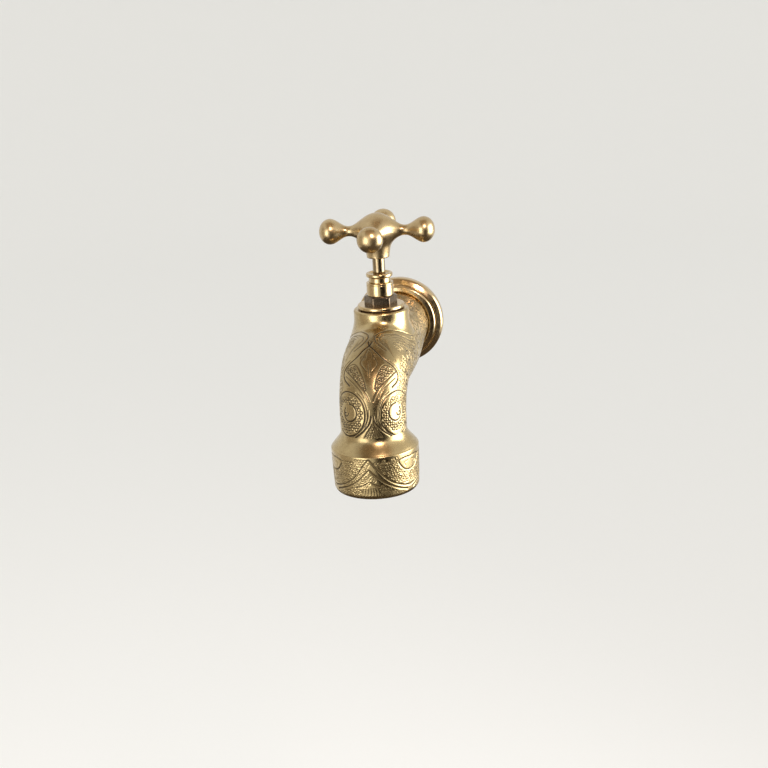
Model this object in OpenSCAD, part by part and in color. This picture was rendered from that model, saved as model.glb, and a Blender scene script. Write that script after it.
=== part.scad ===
// Engraved brass wall tap with a cross handle: a screw-down valve on a bent spout.
// The origin is where the inlet axis meets the wall. The tap stands out along -Y, +Z is up.

/* [Layout] */
// Distance from the wall to the valve's axis
valve_reach = 62; // [60:0.5:64]
// Distance from the wall to the spout's axis
spout_reach = 104; // [102:0.5:108]
// Fall of the pipe between the wall and the bend, in degrees
pipe_fall = 4; // [2:0.5:5]
// Radius of the pipe's bend, on its centre line
bend_r = 26; // [25:0.5:30]

/* [Wall end] */
// Outer radius of the wall flange
flange_r = 27.5; // [26:0.5:32]
// Distance that the wall flange stands out from the wall
flange_h = 9.4; // [9:0.1:10]
// Radius of the inlet's pipe thread, G 1/2
inlet_r = 10.48; // [10.4:0.01:10.5]
// Length of the inlet tail behind the wall face
tail_len = 15; // [12:1:20]
// Radius of the waterway through the tail
tail_bore_r = 7.5; // [7:0.1:7.8]

/* [Pipe] */
// Outer radius of the pipe at the wall flange
root_r = 18.9; // [18:0.1:19.2]
// Outer radius of the pipe at the bend
pipe_r = 20.3; // [19.5:0.1:21]
// Outer radius of the spout above its collar
spout_r = 19.2; // [18.5:0.1:20]
// Radius of the bulge round the valve
bulge_r = 21.6; // [21:0.1:22]
// Radius of the waterway round the bend
water_r = 15.5; // [15:0.1:16]

/* [Boss] */
// Outer radius of the boss
boss_r = 16.5; // [16:0.1:17]
// Height of the boss's flat top above the inlet axis
boss_top = 23.3; // [23:0.1:24]
// Radius of the rounded edge of the boss
boss_edge = 1.3; // [1:0.1:3]

/* [Headwork] */
// Radius of the screwed shank of the bonnet, G 3/8
shank_r = 8.33; // [8.3:0.01:8.35]
// Hexagon of the bonnet, across the flats
hex_af = 17.3; // [17:0.1:17.6]
// Height of the hexagon
hex_h = 5.4; // [5:0.1:6]
// Radius of the polished ring under the hexagon
ring_r = 14; // [13.4:0.1:14.4]
// Radius of the gland nut
gland_r = 8; // [7.8:0.05:8.2]
// Radius of the spindle's stem
stem_r = 3.65; // [3.6:0.01:3.7]
// Radius of the spindle's thread
screw_r = 5; // [4.9:0.1:5.1]
// Lift of the valve when it is fully open
lift = 5; // [4:0.5:5]

/* [Handle] */
// Distance from the spindle's axis to the middle of each bulb
arm_reach = 27.8; // [27:0.1:29]
// Radius of each bulb
bulb_r = 7.6; // [7:0.1:7.8]
// Thinnest radius of the arms
arm_r = 3; // [2.8:0.1:3.2]
// Height of the arms above the inlet axis
arm_z = 69.8; // [69:0.1:71]
// Turn of the cross from square to the wall, in degrees
cross_turn = 2.5; // [0:0.5:10]

/* [Spout collar] */
// Outer radius of the collar at its upper edge
collar_r = 25.5; // [25:0.1:26]
// Height of the bottom of the collar, below the inlet axis
collar_bottom = -73.7; // [-75:0.1:-72]
// Height of the collar's engraved band
band_h = 26.7; // [26:0.1:27]
// Radius of the outlet
outlet_r = 11; // [10:0.1:11.5]

/* [Hidden] */
$fn = 64;
// Running clearance between turning or screwed parts, and a gap that keeps stacked faces apart
fit = 0.05;
gap = 0.05;
// Overlap that lets one cut run out of another, and the small step where a straight meets the bend
eps = 0.5;
seam = 0.15;

// Pipe: the straight stretch starts at pipe_start and meets the bend where its direction has fallen
pipe_start = -10;
root_face = -6;
root_step = 0.7;
bend_y = -spout_reach + bend_r;
bend_top_y = bend_y - bend_r * sin(pipe_fall);
bend_top_z = (bend_top_y - pipe_start) * tan(pipe_fall);
bend_z = bend_top_z - bend_r * cos(pipe_fall);
straight_len = (pipe_start - bend_top_y) / cos(pipe_fall);
hollow_start = -14;
hollow_len = 32;
hollow_r = 15;

// Passages: the tail's bore runs on into the pipe, a falling one feeds the seat, and one leaves the chamber
tail_bore_in = 18;
feed_y = -20;
feed_z = -3;
feed_fall = 13.5;
feed_r = tail_bore_r - 0.5;
chamber_out_z = 8;
chamber_out_fall = 22.6;
chamber_out_r = 6;
chamber_out_len = 24;
spout_bore_r = 12;

bulge_y = -valve_reach + 6;
bulge_z = (bulge_y - pipe_start) * tan(pipe_fall);

// Wall flange: back web, gasket and the two convex rings
web_y = -2;
gasket_r = 21;
groove_r = 23.7;
groove_y = -7;

// Valve: the seat's face is just above the inlet axis
seat_floor = -4;
seat_z = 1;
seat_r = 8;
seat_bore_r = 5.5;
chamber_r = 11.5;
chamber_top = 12.4;
well_floor = -18;
washer_z = seat_z + gap;
washer_h = 3;
washer_r = 7.2;
plate_z = washer_z + washer_h;
plate_h = 2;
plate_r = 7.6;
guide_r = 2.95;
guide_len = 9.5;
stud_r = 1.95;
stud_bottom = -2;
nut_af = 7;
nut_bottom = -1.6;

// Headwork, from the shank up
seal_r = 12.4;
ring_z = boss_top + 0.7;
hex_z = ring_z + 2;
neck_z = hex_z + hex_h;
shank_bottom = 11.6;
screw_bottom = plate_z + plate_h + gap;
guide_z = hex_z;
screw_top = guide_z - lift - 0.5;
box_z = guide_z + 2;
box_r = 5.2;
neck_r = 6.55;
neck_top = neck_z + 5.7;
gland_z = neck_z + gap;
gland_top = neck_z + 7.7;
web_z = gland_top - 1.6;
gland_screw_r = 4.9;
packing_n = 3;
packing_h = 2;
packing_washer_h = 1;
packing_top = box_z + packing_n * packing_h + packing_washer_h;
groove_neck_r = 6.4;
grip_z = gland_top + 3.3;
grip_top = grip_z + 2.3;
grip_r = 7.9;
hex_turn = 11;

// Handle
skirt_bottom = 54;
skirt_r = 7.4;
dome_top = 80.3;
hub_r = 9.2;
socket_top = 70;
handle_screw_r = 2;
handle_screw_z = 58;
handle_screw_in = 3.75;
arm_in = 8;
arm_waist = 16.8;
arm_root = 2.6;
bulb_tip = 6.5;

// Spout collar and outlet
band_top = collar_bottom + band_h;
shoulder_top = band_top + 9;
shoulder_turn = 130;
shoulder_edge = 0.6;
collar_bore_r = 16;
spigot_bottom = -58;
outlet_washer_h = 2;
bush_h = 12;
bush_bottom = collar_bottom + 1.2;
screen_r = 14;
screen_rim = 2.5;
screen_bar = 1;
screen_pitch = 3.4;

// Antique brass, its darker and brighter finishes, and the sealing materials
BRASS = "#a08552";
POLISHED = "#c3a468";
DARK = "#3a3230";
FIBRE = "#7a3f2c";
BLACK = "#222222";
STEEL = "#9a9a98";

// Puts a shape that is drawn round the Z axis on the valve's axis
module on_valve() translate([0, -valve_reach, 0]) children();

// Puts a shape that is drawn round the Z axis on the spout's axis
module on_spout() translate([0, -spout_reach, 0]) children();

// Lays a shape that is drawn up the Z axis along the inlet, away from the wall, from y
module from_wall(y) translate([0, y, 0]) rotate([90, 0, 0]) children();

// Lays a shape that is drawn up the Z axis along the pipe, whose direction falls by the angle
module down_pipe(y, z, fall) translate([0, y, z]) rotate([90 + fall, 0, 0]) children();

// Ring round the Z axis between two heights
module ring(outer, inner, low, high) translate([0, 0, low]) difference() {
    cylinder(r = outer, h = high - low);
    translate([0, 0, -eps]) cylinder(r = inner, h = high - low + 2 * eps);
}

// Points of an arc, from one angle to another
function arc(cx, cy, r, from, to, n) =
    [for (i = [0:n]) let (a = from + (to - from) * i / n) [cx + r * cos(a), cy + r * sin(a)]];

// Tube of constant radius round the bend, from the pipe's end to the spout
module bend(r) translate([0, bend_y, bend_z]) rotate([90, 0, 90]) rotate([0, 0, 90 + pipe_fall])
    rotate_extrude(angle = 90 - pipe_fall) translate([bend_r, 0]) circle(r = r);

module body_outside() {
    from_wall(root_face) cylinder(r = root_r, h = 6);
    down_pipe(pipe_start, 0, pipe_fall) cylinder(r1 = root_r - root_step, r2 = pipe_r - seam, h = straight_len + eps);
    bend(pipe_r);
    on_spout() translate([0, 0, shoulder_top])
        cylinder(r1 = spout_r, r2 = pipe_r - seam, h = bend_z - shoulder_top + eps);
    on_spout() translate([0, 0, spigot_bottom])
        cylinder(r = collar_bore_r - fit, h = shoulder_top - spigot_bottom + eps);
    translate([0, bulge_y, bulge_z]) sphere(r = bulge_r);
    on_valve() rotate_extrude() polygon(concat([[0, -3], [boss_r, -3]],
        arc(boss_r - boss_edge, boss_top - boss_edge, boss_edge, 0, 90, 12), [[0, boss_top]]));
    from_wall(0) translate([0, 0, -eps]) cylinder(r = inlet_r - 0.5, h = -root_face + 2 * eps);
    from_wall(tail_len) cylinder(r1 = inlet_r - 1, r2 = inlet_r, h = 1);
    from_wall(tail_len - 1) cylinder(r = inlet_r, h = tail_len - 1);
}

// Waterway: in along the tail, down under the seat, up through it, then forward round the bend
module body_waterway() {
    from_wall(tail_len + eps) cylinder(r = tail_bore_r, h = tail_len + eps + tail_bore_in);
    down_pipe(hollow_start, (hollow_start - pipe_start) * tan(pipe_fall), pipe_fall)
        cylinder(r = hollow_r, h = hollow_len);
    down_pipe(feed_y, feed_z, feed_fall) cylinder(r = feed_r, h = valve_reach + feed_y);
    on_valve() translate([0, 0, well_floor]) cylinder(r = tail_bore_r, h = seat_floor - well_floor + eps);
    on_valve() translate([0, 0, seat_floor]) cylinder(r = seat_r + fit, h = -seat_floor + eps);
    on_valve() cylinder(r = chamber_r, h = chamber_top);
    on_valve() translate([0, 0, chamber_top - eps])
        cylinder(r = shank_r + fit, h = boss_top - chamber_top + 2 * eps);
    down_pipe(-valve_reach - 2, chamber_out_z, chamber_out_fall) cylinder(r = chamber_out_r, h = chamber_out_len);
    bend(water_r);
    on_spout() translate([0, 0, spigot_bottom - eps])
        cylinder(r = spout_bore_r, h = bend_z - spigot_bottom + 2 * eps);
}

module body() color(BRASS) difference() {
    body_outside();
    body_waterway();
}

// Stepped ring: the shape is drawn with its distance from the wall upward
module wall_flange() color(POLISHED) from_wall(0) rotate_extrude() polygon(concat(
    [[inlet_r + 0.2, -web_y], [gasket_r, -web_y], [gasket_r, 0], [flange_r, 0]],
    arc(flange_r - 3, 2.2, 3, 0, 60, 8),
    [[groove_r + 0.3, -groove_y - 0.6], [groove_r, -groove_y - 0.9], [groove_r - 0.4, -groove_y - 0.3]],
    arc(root_r + 2.8, flange_h - 2.2, 2.2, 50, 120, 6),
    [[root_r + 0.1, flange_h - 0.4], [root_r + 0.1, -root_face], [inlet_r + 0.2, -root_face]]));

module flange_gasket() color(BLACK) from_wall(0) ring(gasket_r - 0.3, inlet_r + 0.3, 0, -web_y);

// Collar: a concave shoulder runs out to the engraved band, whose lower edge is rounded
module spout_collar() color(BRASS) on_spout() rotate_extrude() polygon(concat(
    [[collar_bore_r, shoulder_top], [spout_r, shoulder_top]],
    [for (i = [1:10]) let (t = i / 10)
        [spout_r + (collar_r - shoulder_edge - spout_r) * (1 - cos(shoulder_turn * t)) / (1 - cos(shoulder_turn)),
        shoulder_top - (shoulder_top - band_top) * t]],
    arc(collar_r - 1, band_top - 1, 1, 60, 0, 5),
    arc(collar_r - 3.2, collar_bottom + 2.5, 2.5, 0, -90, 8),
    [[collar_bore_r, collar_bottom]]));

module outlet_washer() color(BLACK) on_spout()
    ring(collar_bore_r - 0.1, spout_bore_r, spigot_bottom - outlet_washer_h, spigot_bottom);

// Woven strainer, drawn as crossed bars inside a rim
module outlet_screen() color(STEEL) on_spout()
    translate([0, 0, spigot_bottom - outlet_washer_h - screen_bar]) {
        difference() {
            cylinder(r = screen_r - 0.1, h = screen_bar);
            translate([0, 0, -eps]) cylinder(r = screen_r - screen_rim, h = screen_bar + 2 * eps);
        }
        intersection() {
            cylinder(r = spout_bore_r, h = screen_bar);
            for (turn = [0, 90], i = [-3:3]) rotate([0, 0, turn])
                translate([i * screen_pitch - screen_bar / 2, -spout_bore_r, 0])
                    cube([screen_bar, 2 * spout_bore_r, screen_bar]);
        }
    }

module outlet_bush() color(POLISHED) on_spout() difference() {
    translate([0, 0, bush_bottom])
        cylinder(r = collar_bore_r - fit, h = spigot_bottom - outlet_washer_h - bush_bottom);
    translate([0, 0, bush_bottom - eps]) cylinder(r = outlet_r, h = bush_h);
    translate([0, 0, spigot_bottom - outlet_washer_h - screen_bar]) cylinder(r = screen_r, h = screen_bar + eps);
}

module valve_seat() color(POLISHED) on_valve() {
    difference() {
        union() {
            translate([0, 0, seat_floor]) cylinder(r = seat_r, h = -seat_floor);
            cylinder(r = seat_r - 1, h = seat_z);
        }
        translate([0, 0, seat_floor - eps]) cylinder(r = seat_bore_r, h = seat_z - seat_floor + 2 * eps);
    }
}

// Hexagonal prism with a chamfered top
module hexagon(af, low, high, chamfer) intersection() {
    translate([0, 0, low]) cylinder(r = af / sqrt(3), h = high - low, $fn = 6);
    translate([0, 0, low]) rotate_extrude() polygon([[0, 0], [af, 0], [af, high - low - af / 2 + chamfer],
        [af / 2 - chamfer, high - low], [0, high - low]]);
}

module bonnet() color(DARK) on_valve() difference() {
    union() {
        translate([0, 0, shank_bottom]) cylinder(r = shank_r, h = hex_z - shank_bottom + gap);
        rotate([0, 0, hex_turn]) hexagon(hex_af, hex_z, neck_z, 0.6);
        translate([0, 0, neck_z - eps]) cylinder(r = neck_r, h = neck_top - neck_z + eps);
    }
    translate([0, 0, shank_bottom - eps]) cylinder(r = screw_r + fit, h = guide_z - shank_bottom + eps);
    translate([0, 0, guide_z - eps]) cylinder(r = stem_r + fit, h = box_z - guide_z + 2 * eps);
    translate([0, 0, box_z]) cylinder(r = box_r, h = neck_top - box_z + eps);
}

module bonnet_ring() color(POLISHED) on_valve() rotate_extrude() polygon(concat(
    [[shank_r + 0.07, ring_z], [ring_r - 0.5, ring_z]],
    arc(ring_r - 1, hex_z - 1, 1, 0, 90, 6),
    [[shank_r + 0.07, hex_z]]));

module bonnet_washer() color(FIBRE) on_valve() ring(seal_r, shank_r + 0.07, boss_top, ring_z);

module stem_packing() color(BLACK) on_valve() for (i = [0:packing_n - 1])
    ring(box_r - 0.03, stem_r + fit, box_z + i * packing_h, box_z + (i + 1) * packing_h - gap);

module packing_washer() color(POLISHED) on_valve()
    ring(box_r - 0.05, stem_r + 0.08, packing_top - packing_washer_h, packing_top);

module gland_nut() color(POLISHED) on_valve() rotate_extrude() polygon(concat(
    [[neck_r + fit, gland_z], [gland_r, gland_z]],
    arc(gland_r - 0.8, gland_top - 0.8, 0.8, 0, 90, 6),
    [[gland_screw_r + fit, gland_top], [gland_screw_r + fit, web_z], [neck_r + fit, web_z]]));

module gland_screw() color(POLISHED) on_valve() rotate_extrude() polygon(concat(
    [[stem_r + 0.08, packing_top + gap], [gland_screw_r, packing_top + gap],
    [gland_screw_r, gland_top + gap], [groove_neck_r, gland_top + gap], [groove_neck_r, grip_z]],
    arc(grip_r - 0.7, grip_z + 0.7, 0.7, -90, 0, 4),
    arc(grip_r - 1.2, grip_top - 1.2, 1.2, 0, 90, 6),
    [[stem_r + 0.08, grip_top]]));

// Spindle: thread in the bonnet, socket for the jumper below, stem through the gland to the handle
module spindle() color(POLISHED) on_valve() difference() {
    union() {
        translate([0, 0, screw_bottom]) cylinder(r = screw_r, h = screw_top - screw_bottom);
        translate([0, 0, screw_top - eps]) cylinder(r = stem_r, h = socket_top - 1 - screw_top + eps);
    }
    translate([0, 0, screw_bottom - eps]) cylinder(r = guide_r + fit, h = guide_len + gap + eps);
}

module jumper() color(POLISHED) on_valve() {
    translate([0, 0, plate_z]) cylinder(r = plate_r, h = plate_h);
    translate([0, 0, plate_z + plate_h - eps]) cylinder(r = guide_r, h = guide_len);
    translate([0, 0, stud_bottom]) cylinder(r = stud_r, h = plate_z - stud_bottom + eps);
}

module tap_washer() color(BLACK) on_valve() ring(washer_r, stud_r + 0.03, washer_z, plate_z);

module washer_nut() color(POLISHED) on_valve() difference() {
    translate([0, 0, nut_bottom]) cylinder(r = nut_af / sqrt(3), h = washer_z - nut_bottom, $fn = 6);
    translate([0, 0, nut_bottom - eps]) cylinder(r = stud_r + 0.03, h = washer_z - nut_bottom + 2 * eps);
}

// One arm along +X: the neck widens into the hub at one end and into the bulb at the other
module arm() rotate([0, 90, 0]) rotate_extrude() polygon(concat([[0, 2]],
    [for (i = [0:5]) let (t = i / 5)
        [arm_r + arm_root * (0.5 + 0.5 * cos(180 * t)), arm_in + (arm_waist - arm_in) * t]],
    [for (i = [1:8]) let (t = i / 8)
        [arm_r + (bulb_r - arm_r) * (0.5 - 0.5 * cos(180 * t)), arm_waist + (arm_reach - arm_waist) * t]],
    [for (i = [1:10]) let (a = 9 * i) [bulb_r * cos(a), arm_reach + bulb_tip * sin(a)]]));

module cross_handle() color(BRASS) on_valve() difference() {
    union() {
        rotate_extrude() polygon(concat([[0, skirt_bottom], [skirt_r, skirt_bottom]],
            [for (i = [1:6]) let (t = i / 6) [skirt_r + (hub_r - skirt_r) * pow(t, 3), skirt_bottom + 9 * t]],
            [for (i = [0:14]) let (a = 90 * i / 14)
                [hub_r * cos(a), arm_z + (dome_top - arm_z) * sin(a)]]));
        translate([0, 0, arm_z]) for (k = [0:3]) rotate([0, 0, cross_turn + 90 * k]) arm();
    }
    translate([0, 0, skirt_bottom - eps]) cylinder(r = stem_r + fit, h = socket_top - skirt_bottom + eps);
    translate([0, handle_screw_in, handle_screw_z]) rotate([-90, 0, 0])
        cylinder(r = handle_screw_r + 0.02, h = hub_r);
}

module handle_screw() color(STEEL) on_valve() translate([0, handle_screw_in, handle_screw_z])
    rotate([-90, 0, 0]) difference() {
        cylinder(r = handle_screw_r, h = 3);
        translate([0, 0, 1.5]) cylinder(r = 1, h = 1.5 + eps, $fn = 6);
    }

body();
wall_flange();
flange_gasket();
spout_collar();
outlet_washer();
outlet_screen();
outlet_bush();
valve_seat();
bonnet();
bonnet_ring();
bonnet_washer();
stem_packing();
packing_washer();
gland_nut();
gland_screw();
spindle();
jumper();
tap_washer();
washer_nut();
cross_handle();
handle_screw();
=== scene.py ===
"""Engraved brass wall tap with a cross handle: the looks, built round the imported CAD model.

Shapes are worked out in millimetres in the model's frame and turned into metres when a mesh is made.
The pipe's skin is a grid of rows along its centre line. A place on it is (s, w): s is the distance from the
wall along the centre line, and w is the way round, as arc length at GIRTH_R, 0 at the front and top.
"""
import math

import bmesh
import bpy
import numpy as np
from mathutils import Matrix, Quaternion, Vector, kdtree


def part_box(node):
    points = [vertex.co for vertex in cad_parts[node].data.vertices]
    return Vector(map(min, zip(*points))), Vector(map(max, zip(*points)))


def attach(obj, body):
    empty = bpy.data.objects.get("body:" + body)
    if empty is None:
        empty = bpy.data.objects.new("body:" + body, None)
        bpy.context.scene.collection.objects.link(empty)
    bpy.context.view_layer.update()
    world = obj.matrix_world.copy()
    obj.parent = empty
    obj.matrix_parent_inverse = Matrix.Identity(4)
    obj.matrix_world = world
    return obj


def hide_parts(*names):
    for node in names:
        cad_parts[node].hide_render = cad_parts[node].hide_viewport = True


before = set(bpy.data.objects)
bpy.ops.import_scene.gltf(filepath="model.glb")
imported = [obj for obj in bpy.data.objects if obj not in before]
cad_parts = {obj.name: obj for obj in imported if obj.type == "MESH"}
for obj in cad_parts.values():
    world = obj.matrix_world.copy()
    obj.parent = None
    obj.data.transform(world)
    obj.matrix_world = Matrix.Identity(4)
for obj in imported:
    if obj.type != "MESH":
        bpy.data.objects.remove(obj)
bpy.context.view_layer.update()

MM = 0.001
TAU = 2 * math.pi
FIXED = "tap_body"
TURNING = "handle_stem"


# -------------------- sizes taken from the frame

def span(node):
    """A node's lowest and highest corner, in millimetres."""
    low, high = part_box(node)
    return np.array(low) / MM, np.array(high) / MM


def middle(node):
    low, high = span(node)
    return (low + high) / 2


def heights(node):
    return [corner[2] for corner in span(node)]


valve_y = middle("bonnet")[1]
spout_y = middle("spout_collar")[1]
flange_r = span("wall_flange")[1][0]
flange_front = span("wall_flange")[0][1]
flange_back = span("wall_flange")[1][1]
tail_back = span("body")[1][1]
boss_top = span("bonnet_washer")[0][2]
ring_low, ring_high = heights("bonnet_ring")
ring_r = span("bonnet_ring")[1][0]
seal_r = span("bonnet_washer")[1][0]
gland_low, gland_high = heights("gland_nut")
gland_r = span("gland_nut")[1][0]
screw_low, screw_high = heights("gland_screw")
grip_r = span("gland_screw")[1][0]
stem_top = span("spindle")[1][2]
collar_low, collar_high = heights("spout_collar")
collar_r = span("spout_collar")[1][0]
skirt_low, dome_high = heights("cross_handle")
arm_tip = span("cross_handle")[1][0]
bush_low, bush_high = heights("outlet_bush")
bush_r = span("outlet_bush")[1][0]

# Pipe
GIRTH_R = 20.0
BEND_PIPE_R = 20.3
FALL = math.radians(4)
BEND_R = 26.0
PIPE_START = -10.0
WALL_PIPE_R = 18.9
PIPE_RADII = ((0, WALL_PIPE_R), (10, WALL_PIPE_R), (34, 20.2), (54, 21.3), (72, 21.0),
              (88, 20.2), (105, 19.4), (127, 19.2))
BOSS_R = 16.5
BOSS_EDGE = 1.3
BOSS_LOW = -3.0
BOSS_BLEND = 6.0
PLAIN_BAND_LOW = 15.5

# Bores: the two in the skin are blind, the inner waterway is left to the CAD
WATER_R = 7.5
WALL_FACE = -6.0
INLET_END = -40.0
OUTLET_DEPTH = 24.0
SPIGOT_LOW = span("outlet_washer")[1][2]
SPIGOT_R = 15.95
SPOUT_BORE_R = 12.0

# Handle
ARM_Z = 69.8
ARM_REACH = 27.8
ARM_WAIST = 16.8
ARM_R = 3.0
ARM_IN = 8.0
ARM_ROOT = 1.5
BULB_R = 7.6
BULB_TIP = arm_tip - ARM_REACH
HUB_R = 10.3
SKIRT_R = 6.7
CROSS_TURN = math.radians(2.5)
HANDLE_MELT = 6.5

# Headwork
HEX_AF = 17.3
HEX_TURN = math.radians(11)
SHANK_R = 8.33
STUFFING_R = 5.2
STEM_R = 3.65
STEM_BORE_R = 3.75


# -------------------- meshes

def linked(name, data):
    """New object in the scene."""
    made = bpy.data.objects.new(name, data)
    bpy.context.scene.collection.objects.link(made)
    return made


def smooth_mesh(name, verts, faces, material):
    """Smooth-shaded mesh from points in metres."""
    mesh = bpy.data.meshes.new(name)
    mesh.from_pydata(verts, [], faces)
    mesh.update()
    mesh.polygons.foreach_set("use_smooth", np.ones(len(mesh.polygons), bool))
    mesh.materials.append(material)
    return mesh


def piece(name, verts, faces, material, body, slot, nodes, sharp=40):
    """Makes a piece from points in millimetres. nodes are the CAD nodes that it stands for."""
    mesh = smooth_mesh(name, (np.asarray(verts) * MM).tolist(), faces, material)
    mesh.set_sharp_from_angle(angle=math.radians(sharp))
    made = linked(name, mesh)
    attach(made, body)
    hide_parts(*nodes)
    return made


def grid_faces(rows, cols, looped):
    """Quads of a grid whose columns close on themselves, and whose rows do too if it is looped."""
    last = rows if looped else rows - 1
    i, j = np.meshgrid(np.arange(last), np.arange(cols), indexing="ij")
    below = (i + 1) % rows
    right = (j + 1) % cols
    quads = np.stack([i * cols + j, i * cols + right, below * cols + right, below * cols + j], -1)
    return quads.reshape(-1, 4).tolist()


def skin(rows, looped=False):
    """Closed surface from a (rows, cols, 3) grid: a loop of rows, or an open run with a cap at each end."""
    count, cols = rows.shape[:2]
    verts = rows.reshape(-1, 3)
    faces = grid_faces(count, cols, looped)
    if not looped:
        verts = np.vstack([verts, rows[0].mean(0), rows[-1].mean(0)])
        start, end = count * cols, count * cols + 1
        last = (count - 1) * cols
        for j in range(cols):
            k = (j + 1) % cols
            faces.append([start, k, j])
            faces.append([end, last + j, last + k])
    return verts, outward(verts, faces)


def outward(verts, faces):
    """The same faces, turned so that the surface faces outwards."""
    quads = np.array([f if len(f) == 4 else f + [f[2]] for f in faces])
    a, b, c, d = (verts[quads[:, k]] for k in range(4))
    volume = sum(np.einsum("ij,ij->i", a, np.cross(*edge)).sum() for edge in ((b, c), (c, d)))
    return faces if volume > 0 else [f[::-1] for f in faces]


def outline(corners, step=0.5, arc_steps=6):
    """Points of a closed outline of (radius, height, fillet) corners, with straight runs cut to the step."""
    points = []
    count = len(corners)
    for k in range(count):
        here = np.array(corners[k][:2], float)
        before = np.array(corners[k - 1][:2], float) - here
        after = np.array(corners[(k + 1) % count][:2], float) - here
        fillet = corners[k][2]
        if fillet == 0:
            points.append(here)
            continue
        a, b = before / np.linalg.norm(before), after / np.linalg.norm(after)
        half = math.acos(max(-1, min(1, float(a @ b)))) / 2
        reach = min(fillet / math.tan(half), 0.49 * np.linalg.norm(before), 0.49 * np.linalg.norm(after))
        radius = reach * math.tan(half)
        centre = here + (a + b) / np.linalg.norm(a + b) * radius / math.sin(half)
        start, end = here + a * reach - centre, here + b * reach - centre
        turn = math.atan2(start[0] * end[1] - start[1] * end[0], float(start @ end))
        for t in np.linspace(0, turn, arc_steps + 1):
            spin = np.array([[math.cos(t), -math.sin(t)], [math.sin(t), math.cos(t)]])
            points.append(centre + spin @ start)
    dense = []
    for k, here in enumerate(points):
        after = points[(k + 1) % len(points)]
        pieces = max(1, int(np.linalg.norm(after - here) / step))
        dense += [here + (after - here) * n / pieces for n in range(pieces)]
    return np.array(dense)


def lathe(points, axis_y, cols=96):
    """Grid of an outline turned round the upright axis at axis_y."""
    turn = np.arange(cols) * TAU / cols
    r, z = points[:, :1], points[:, 1:2]
    return np.stack([r * np.cos(turn), axis_y + r * np.sin(turn), z + 0 * turn], -1)


def wall_lathe(points, cols=128):
    """Grid of an outline turned round the inlet's axis; its heights stand out from the wall."""
    turn = np.arange(cols) * TAU / cols
    r, out = points[:, :1], points[:, 1:2]
    return np.stack([r * np.cos(turn), -out + 0 * turn, r * np.sin(turn)], -1)


# -------------------- materials

def add(tree, kind, **sockets):
    """Adds a node and sets its input sockets by name."""
    node = tree.nodes.new(kind)
    for name, value in sockets.items():
        node.inputs[name.replace("_", " ")].default_value = value
    return node


def noise(tree, coord, size, detail=3, stretch=(1, 1, 1)):
    """Noise whose features are about size millimetres, stretched along the axes."""
    mapping = add(tree, "ShaderNodeMapping")
    mapping.inputs["Scale"].default_value = [1 / (k * size * MM) for k in stretch]
    made = add(tree, "ShaderNodeTexNoise", Scale=1.0, Detail=detail, Roughness=0.6)
    tree.links.new(coord, mapping.inputs["Vector"])
    tree.links.new(mapping.outputs["Vector"], made.inputs["Vector"])
    return made.outputs["Fac"]


def remap(tree, value, low, high, to_low, to_high):
    made = add(tree, "ShaderNodeMapRange", From_Min=low, From_Max=high, To_Min=to_low, To_Max=to_high)
    tree.links.new(value, made.inputs["Value"])
    return made.outputs["Result"]


def blend(tree, factor, first, second):
    """Mix of two colours, each a colour or a link, by a linked factor."""
    made = tree.nodes.new("ShaderNodeMix")
    made.data_type = "RGBA"
    tree.links.new(factor, made.inputs[0])
    for socket, colour in ((6, first), (7, second)):
        if isinstance(colour, tuple):
            made.inputs[socket].default_value = (*colour, 1)
        else:
            tree.links.new(colour, made.inputs[socket])
    return made.outputs[2]


def total(tree, first, second):
    made = tree.nodes.new("ShaderNodeMath")
    tree.links.new(first, made.inputs[0])
    tree.links.new(second, made.inputs[1])
    return made.outputs[0]


def new_material(name):
    made = bpy.data.materials.new(name)
    made.use_nodes = True
    tree = made.node_tree
    coord = tree.nodes.new("ShaderNodeTexCoord").outputs["Object"]
    return made, tree, tree.nodes["Principled BSDF"], coord


def bumped(tree, shader, height, distance, strength=0.5):
    made = add(tree, "ShaderNodeBump", Strength=strength, Distance=distance * MM)
    tree.links.new(height, made.inputs["Height"])
    tree.links.new(made.outputs["Normal"], shader.inputs["Normal"])


def brass(name, bright, tarnish, dirt, gloss, age, coat=0.35, scuff=0.02):
    """Aged brass. bright is the rubbed metal, tarnish its brownish film and dirt what the cuts hold.

    The mesh's cut attribute is how deep the engraving is; its other attribute is painted shade down the
    front.
    """
    made, tree, shader, coord = new_material(name)
    clouds = noise(tree, coord, 14, 4)
    mottle = noise(tree, coord, 2.2, 5)
    grain = noise(tree, coord, 0.35, 2)
    scratches = noise(tree, coord, 0.25, 2, (1, 1, 14))
    film = remap(tree, total(tree, clouds, mottle), 0.8, 1.25, 0.0, age)
    metal = blend(tree, film, bright, tarnish)
    # Painted shade: this attribute darkens the front of the pipe and collar, standing in for a dark
    # reflection.
    painted_front_shade = tree.nodes.new("ShaderNodeAttribute")
    painted_front_shade.attribute_name = "painted_front_shade"
    metal = blend(tree, painted_front_shade.outputs["Fac"], metal, tuple(0.62 * channel for channel in tarnish))
    cut = tree.nodes.new("ShaderNodeAttribute")
    cut.attribute_name = "cut"
    held = remap(tree, cut.outputs["Fac"], 0.25, 0.95, 0.0, 0.93)
    tree.links.new(blend(tree, held, metal, dirt), shader.inputs["Base Color"])
    shader.inputs["Metallic"].default_value = 1
    shader.inputs["Coat Weight"].default_value = coat
    shader.inputs["Coat Roughness"].default_value = 0.22
    shine = total(tree, remap(tree, mottle, 0.3, 0.7, gloss - 0.05, gloss + 0.07),
                  remap(tree, cut.outputs["Fac"], 0.0, 1.0, 0.0, 0.3))
    tree.links.new(shine, shader.inputs["Roughness"])
    bumped(tree, shader, total(tree, grain, scratches), scuff)
    return made


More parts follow.
